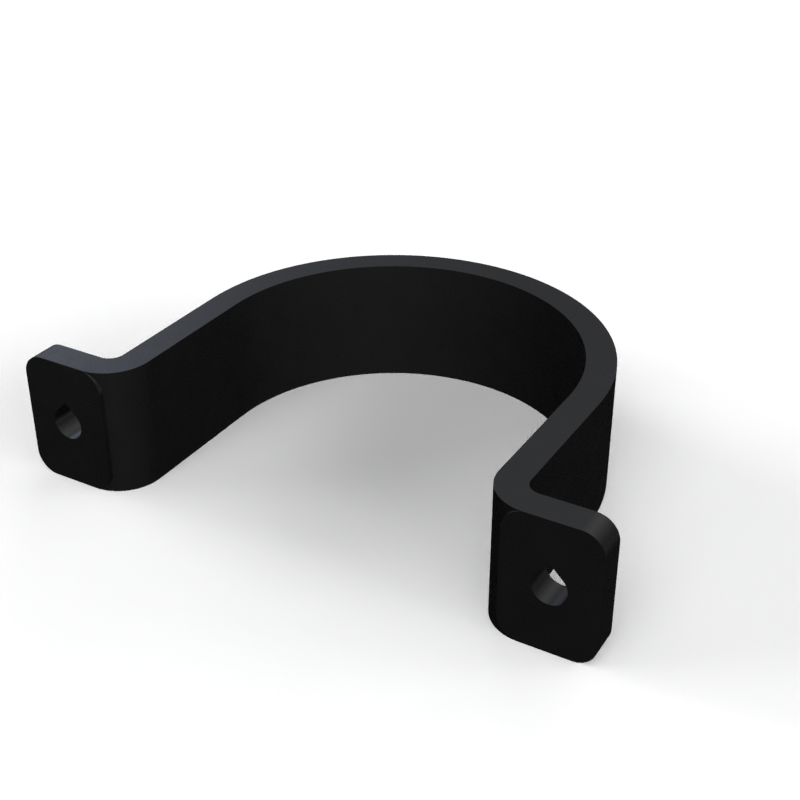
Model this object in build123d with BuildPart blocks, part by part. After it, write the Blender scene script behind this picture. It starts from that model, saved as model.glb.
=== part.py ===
"""Omega pipe clamp: one bent strap that saddles a 50 mm pipe and screws down at two feet.

Frame, in millimetres. The pipe's axis is Z and passes through the origin. The strap's lower edge
lies in the plane Z = 0, so the clamp stands on its edge. X runs from foot to foot. Y runs from the
feet, at -Y, to the crown of the saddle, at +Y. The feet bear on a wall in the plane Y = -25.3.

The strap is one piece: saddle, two parallel legs, two bends and two feet, all 4 mm thick and 18 mm
wide. Its edges are sharp. Each foot is a rounded plate whose inner end stands slightly proud of the
bend that it grows from, and each has one teardrop screw hole with its point towards +Z.
"""
import os
from math import sqrt

from build123d import *

# --- driving dimensions -----------------------------------------------------
pipe_d = 50.0                # outside diameter of the pipe that is held
pipe_gap = 0.25              # all round, between the pipe and the saddle
wall = 4.0                   # thickness of the strap and of the feet
width = 18.0                 # width of the strap, along the pipe
leg_run = 19.3               # straight run of each leg, from the saddle to its bend
bend_r_tight = 2.0           # bend radius on the leg's outer side, in the corner behind the foot
foot_span = 82.0             # over the ends of the two feet
foot_inner_x = 28.5          # inner end of each foot plate, from the pipe's axis
foot_corner_r = 3.0          # the plate's four corners
screw_spacing = 69.5         # hole to hole
screw_hole_r = 2.25          # clearance for a 4 mm screw

# --- derived dimensions -----------------------------------------------------
bore_r = pipe_d / 2 + pipe_gap                  # 25.25, inside of the saddle
back_r = bore_r + wall                          # 29.25, outside of the saddle
bend_r_wide = bend_r_tight + wall               # 6, bend radius on the leg's inner side
bend_x = back_r + bend_r_tight                  # 31.25, common centre of both bend radii
bend_y = -leg_run
face_y = bend_y - bend_r_wide                   # -25.3, mounting face of the feet
rear_y = face_y + wall                          # -21.3, screw-head face of the feet
foot_end_x = foot_span / 2                      # 41
foot_len = foot_end_x - foot_inner_x            # 12.5
foot_mid_x = (foot_end_x + foot_inner_x) / 2    # 34.75, which is also the hole's place
strip_end_x = foot_end_x - foot_corner_r - 1.0  # the bent strip ends inside the foot plate
hole_x = screw_spacing / 2
hole_peak = screw_hole_r * sqrt(2)              # point of the teardrop above the hole's centre

assert abs(hole_x - foot_mid_x) < 1e-6

# --- strap ------------------------------------------------------------------
with BuildPart() as strap:
    # The bent strip: its section in plan, right half first, then mirrored, raised by the width.
    with BuildSketch(Plane.XY):
        with BuildLine():
            # inner side, from the crown down to the mounting face
            CenterArc((0, 0), bore_r, 0, 90)
            Line((bore_r, 0), (bore_r, bend_y))
            CenterArc((bend_x, bend_y), bend_r_wide, 180, 90)
            Line((bend_x, face_y), (strip_end_x, face_y))
            # across the strip's end, which is buried in the foot plate
            Line((strip_end_x, face_y), (strip_end_x, rear_y))
            # outer side, back up to the crown
            Line((strip_end_x, rear_y), (bend_x, rear_y))
            CenterArc((bend_x, bend_y), bend_r_tight, 180, 90)
            Line((back_r, bend_y), (back_r, 0))
            CenterArc((0, 0), back_r, 0, 90)
            Line((0, back_r), (0, bore_r))
        make_face()
        mirror(about=Plane.YZ)
    extrude(amount=width)

    # The two feet: rounded plates standing on the mounting face, as thick as the strip.
    with BuildSketch(Plane.XZ.offset(-face_y)):
        with Locations((foot_mid_x, width / 2), (-foot_mid_x, width / 2)):
            RectangleRounded(foot_len, width, foot_corner_r)
    extrude(amount=-wall)

    # The screw holes: a circle with a square set on its corner, so that the two flanks of the
    # point leave the circle at 45 degrees and need no support above them.
    with BuildSketch(Plane.XZ.offset(-face_y)):
        with Locations((hole_x, width / 2), (-hole_x, width / 2)):
            Circle(screw_hole_r)
            Rectangle(screw_hole_r, screw_hole_r, rotation=45, align=(Align.MIN, Align.MIN))
    extrude(amount=-wall, mode=Mode.SUBTRACT)

strap.part.label = "strap"

# --- output -----------------------------------------------------------------
os.makedirs("parts", exist_ok=True)
export_step(strap.part, "parts/strap.step")

box = strap.part.bounding_box()
print("strap: solids", len(strap.part.solids()), "volume mm3", round(strap.part.volume, 2))
print("strap: box", [round(v, 3) for v in (*box.min, *box.max)])
print("strap: faces", len(strap.part.faces()), "edges", len(strap.part.edges()),
      "shortest edge", round(min(e.length for e in strap.part.edges()), 4))
print("strap: teardrop peak above the hole's centre", round(hole_peak, 3))
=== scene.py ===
import math
import bpy
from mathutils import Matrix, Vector

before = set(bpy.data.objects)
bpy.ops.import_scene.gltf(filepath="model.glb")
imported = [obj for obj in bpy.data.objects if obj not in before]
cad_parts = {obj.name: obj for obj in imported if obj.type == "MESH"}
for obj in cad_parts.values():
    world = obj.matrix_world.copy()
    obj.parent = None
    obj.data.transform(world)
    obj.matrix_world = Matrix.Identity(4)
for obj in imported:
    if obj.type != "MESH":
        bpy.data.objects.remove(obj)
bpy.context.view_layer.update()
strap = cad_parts["strap"]
scene = bpy.context.scene


def direction(azimuth, elevation):
    """Unit vector, with the azimuth measured from +X towards +Y, both in degrees."""
    a, e = math.radians(azimuth), math.radians(elevation)
    return Vector((math.cos(a) * math.cos(e), math.sin(a) * math.cos(e), math.sin(e)))


# --- camera: the picture's viewpoint, for a frame as wide as it is high --------------------
AZ, EL = math.radians(30.1035), math.radians(30.3411)
EYE = Vector((0.0813315, -0.1383159, 0.1039087))
back = Vector((math.sin(AZ) * math.cos(EL), -math.cos(AZ) * math.cos(EL), math.sin(EL)))
cam_data = bpy.data.cameras.new("camera")
cam_data.sensor_fit = "HORIZONTAL"
cam_data.sensor_width = 36.0
cam_data.lens = 1386.064 * 36.0 / 800.0
cam_data.clip_start, cam_data.clip_end = 0.005, 20.0
cam = bpy.data.objects.new("camera", cam_data)
cam.rotation_mode = "QUATERNION"
cam.location = EYE
cam.rotation_quaternion = (-back).to_track_quat("-Z", "Y")
scene.collection.objects.link(cam)
scene.camera = cam


# --- material: black moulded plastic with a fine even grain and a low sheen ----------------
def noise(nt, co, scale, detail, rough=0.5):
    n = nt.nodes.new("ShaderNodeTexNoise")
    n.inputs["Scale"].default_value = scale
    n.inputs["Detail"].default_value = detail
    n.inputs["Roughness"].default_value = rough
    nt.links.new(co, n.inputs["Vector"])
    return n.outputs["Fac"]


def remap(nt, value, low, high, a=0.3, b=0.7):
    m = nt.nodes.new("ShaderNodeMapRange")
    m.inputs["From Min"].default_value = a
    m.inputs["From Max"].default_value = b
    m.inputs["To Min"].default_value = low
    m.inputs["To Max"].default_value = high
    nt.links.new(value, m.inputs["Value"])
    return m.outputs["Result"]


def black_plastic():
    mat = bpy.data.materials.new("black_plastic")
    mat.use_nodes = True
    nt = mat.node_tree
    nt.nodes.clear()
    out = nt.nodes.new("ShaderNodeOutputMaterial")
    bsdf = nt.nodes.new("ShaderNodeBsdfPrincipled")
    nt.links.new(bsdf.outputs["BSDF"], out.inputs["Surface"])
    bsdf.inputs["Specular IOR Level"].default_value = 0.5
    co = nt.nodes.new("ShaderNodeTexCoord").outputs["Object"]

    # colour: carbon black, with the faint cloudiness of filled plastic
    cloud = noise(nt, co, 260.0, 3.0)
    ramp = nt.nodes.new("ShaderNodeValToRGB")
    ramp.color_ramp.elements[0].position, ramp.color_ramp.elements[1].position = 0.3, 0.7
    ramp.color_ramp.elements[0].color = (0.0105, 0.0105, 0.0110, 1)
    ramp.color_ramp.elements[1].color = (0.0135, 0.0135, 0.0140, 1)
    nt.links.new(cloud, ramp.inputs["Fac"])
    nt.links.new(ramp.outputs["Color"], bsdf.inputs["Base Color"])

    # gloss: a little uneven, as the mould's texture is
    fine = noise(nt, co, 3800.0, 2.0)
    patchy = noise(nt, co, 420.0, 2.0)
    r1 = remap(nt, fine, -0.02, 0.02)
    r2 = remap(nt, patchy, 0.26, 0.30)
    add = nt.nodes.new("ShaderNodeMath")
    add.operation = "ADD"
    nt.links.new(r1, add.inputs[0])
    nt.links.new(r2, add.inputs[1])
    nt.links.new(add.outputs[0], bsdf.inputs["Roughness"])

    # grain: pebbles about 0.25 mm across and a few microns high
    bump = nt.nodes.new("ShaderNodeBump")
    bump.inputs["Strength"].default_value = 1.0
    bump.inputs["Distance"].default_value = 0.000008
    nt.links.new(fine, bump.inputs["Height"])
    nt.links.new(bump.outputs["Normal"], bsdf.inputs["Normal"])
    return mat


strap.data.materials.clear()
strap.data.materials.append(black_plastic())
# The walls of the screw holes show the sky and not each other, as in the picture.
strap.visible_glossy = False


# --- floor: plain, pale and matt, and a pale backdrop far behind it -------------------------
FLOOR = 0.06                 # its own colour; the lamps below light it up to white


def floor():
    s = 3.0
    me = bpy.data.meshes.new("floor")
    me.from_pydata([(-s, -s, 0), (s, -s, 0), (s, s, 0), (-s, s, 0)], [], [(0, 1, 2, 3)])
    ob = bpy.data.objects.new("floor", me)
    scene.collection.objects.link(ob)
    mat = bpy.data.materials.new("floor")
    mat.use_nodes = True
    b = mat.node_tree.nodes["Principled BSDF"]
    b.inputs["Base Color"].default_value = (FLOOR, FLOOR, FLOOR, 1)
    b.inputs["Roughness"].default_value = 1.0
    b.inputs["Specular IOR Level"].default_value = 0.0
    me.materials.append(mat)
    # The clamp doesn't mirror the floor, so its sides stay as dark as the sky makes them.
    ob.visible_glossy = ob.visible_diffuse = ob.visible_shadow = False
    return ob


def backdrop():
    """A white dome for views that look past the floor's edge. Only the camera sees it."""
    rings, around, r = 12, 48, 2.95
    verts = [(0, 0, r)]
    for i in range(1, rings + 1):
        e = math.pi / 2 * (1 - i / rings)
        verts += [(r * math.cos(e) * math.cos(2 * math.pi * j / around),
                   r * math.cos(e) * math.sin(2 * math.pi * j / around), r * math.sin(e) - 0.02 * (i == rings))
                  for j in range(around)]
    faces = [(0, 1 + j, 1 + (j + 1) % around) for j in range(around)]
    for i in range(rings - 1):
        a, b = 1 + i * around, 1 + (i + 1) * around
        faces += [(a + j, b + j, b + (j + 1) % around, a + (j + 1) % around) for j in range(around)]
    me = bpy.data.meshes.new("backdrop")
    me.from_pydata(verts, [], faces)
    ob = bpy.data.objects.new("backdrop", me)
    scene.collection.objects.link(ob)
    mat = bpy.data.materials.new("backdrop")
    mat.use_nodes = True
    nt = mat.node_tree
    nt.nodes.clear()
    glow = nt.nodes.new("ShaderNodeEmission")
    out = nt.nodes.new("ShaderNodeOutputMaterial")
    nt.links.new(glow.outputs["Emission"], out.inputs["Surface"])
    mat.cycles.emission_sampling = "NONE"
    me.materials.append(mat)
    ob.visible_diffuse = ob.visible_glossy = ob.visible_transmission = False
    ob.visible_volume_scatter = ob.visible_shadow = False


floor_ob = floor()
backdrop()


# --- light ----------------------------------------------------------------------------------
# The sky is nearly black, with soft lobes: azimuth, elevation, sharpness, colour.
SKY = (
    (141, 27, 100, (0.64, 0.76, 1.01)),
    (141, 0, 60, (0.17, 0.19, 0.27)),
    (145, 24, 20, (0.42, 0.44, 0.49)),
    (100, 62, 8, (0.67, 0.69, 0.73)),
    (80, 38, 20, (0.47, 0.45, 0.42)),
    (50, 25, 20, (0.16, 0.16, 0.16)),
    (20, 45, 8, (0.42, 0.43, 0.43)),
    (0, 10, 8, (0.26, 0.26, 0.26)),
    (180, 50, 6, (0.26, 0.28, 0.33)),
    (240, 28, 6, (0.27, 0.27, 0.27)),
    (315, 25, 6, (0.32, 0.32, 0.33)),
    (300, -20, 2.5, (0.096, 0.096, 0.096)),
    (30, -8, 60, (0.37, 0.37, 0.36)),
    (60, -14, 60, (0.04, 0.04, 0.04)),
    (75, -40, 10, (0.006, 0.006, 0.006)),
)
# It also has a soft band just under the horizon, which upright walls mirror when they are seen
# from a little above: brightest azimuth, height as a sine, width, colour.
BAND = (270, -0.12, 0.16, (0.19, 0.19, 0.19))

world = bpy.data.worlds.new("sky")
scene.world = world
world.use_nodes = True
nt = world.node_tree
bg = nt.nodes["Background"]
look = nt.nodes.new("ShaderNodeTexCoord").outputs["Generated"]


def calc(operation, *values):
    m = nt.nodes.new("ShaderNodeMath")
    m.operation = operation
    for socket, v in zip(m.inputs, values):
        if isinstance(v, (int, float)):
            socket.default_value = v
        else:
            nt.links.new(v, socket)
    return m.outputs[0]


def along(azimuth, elevation):
    dot = nt.nodes.new("ShaderNodeVectorMath")
    dot.operation = "DOT_PRODUCT"
    dot.inputs[1].default_value = direction(azimuth, elevation)
    nt.links.new(look, dot.inputs[0])
    return dot.outputs["Value"]


def tint(value, color):
    v = nt.nodes.new("ShaderNodeVectorMath")
    v.operation = "SCALE"
    v.inputs[0].default_value = color
    nt.links.new(value, v.inputs["Scale"])
    return v.outputs[0]


glows = [tint(calc("EXPONENT", calc("MULTIPLY_ADD", along(az, el), k, -k)), c) for az, el, k, c in SKY]
azimuth, height, width, color = BAND
off = calc("MULTIPLY_ADD", along(0, 90), 1 / width, -height / width)
bell = calc("EXPONENT", calc("MULTIPLY", calc("MULTIPLY", off, off), -1.0))
glows.append(tint(calc("MULTIPLY", bell, calc("ADD", along(azimuth, 0), 1.0)), color))
total = glows[0]
for glow in glows[1:]:
    add = nt.nodes.new("ShaderNodeVectorMath")
    add.operation = "ADD"
    nt.links.new(total, add.inputs[0])
    nt.links.new(glow, add.inputs[1])
    total = add.outputs[0]
nt.links.new(total, bg.inputs["Color"])
bg.inputs["Strength"].default_value = 1.0
world.cycles.sampling_method = "NONE"    # the lobes are wide enough to be met without aiming at them

# Nine low wide suns around the clamp and three higher ones in front light the floor alone, and the
# clamp shades them softly: azimuth, elevation, width and share of the floor's white.
SUNS = (
    (0, 18, 27, 0.122), (30, 18, 27, 0.103), (60, 18, 27, 0.051), (90, 18, 27, 0.053),
    (120, 18, 27, 0.057), (180, 18, 27, 0.142), (210, 18, 27, 0.086), (270, 18, 27, 0.043),
    (330, 18, 27, 0.067), (270, 38, 36, 0.083), (300, 38, 36, 0.083), (270, 60, 50, 0.180),
)
only_floor = bpy.data.collections.new("floor_light_receivers")
only_floor.objects.link(floor_ob)
for azimuth, elevation, width, share in SUNS:
    li = bpy.data.lights.new(f"sun_{azimuth}_{elevation}", "SUN")
    li.angle = math.radians(width)
    li.energy = share * math.pi / FLOOR / math.sin(math.radians(elevation))
    ob = bpy.data.objects.new(li.name, li)
    ob.rotation_mode = "QUATERNION"
    ob.rotation_quaternion = direction(azimuth, elevation).to_track_quat("Z", "Y")
    scene.collection.objects.link(ob)
    ob.light_linking.receiver_collection = only_floor

scene.view_settings.view_transform = "Standard"
scene.view_settings.look = "None"
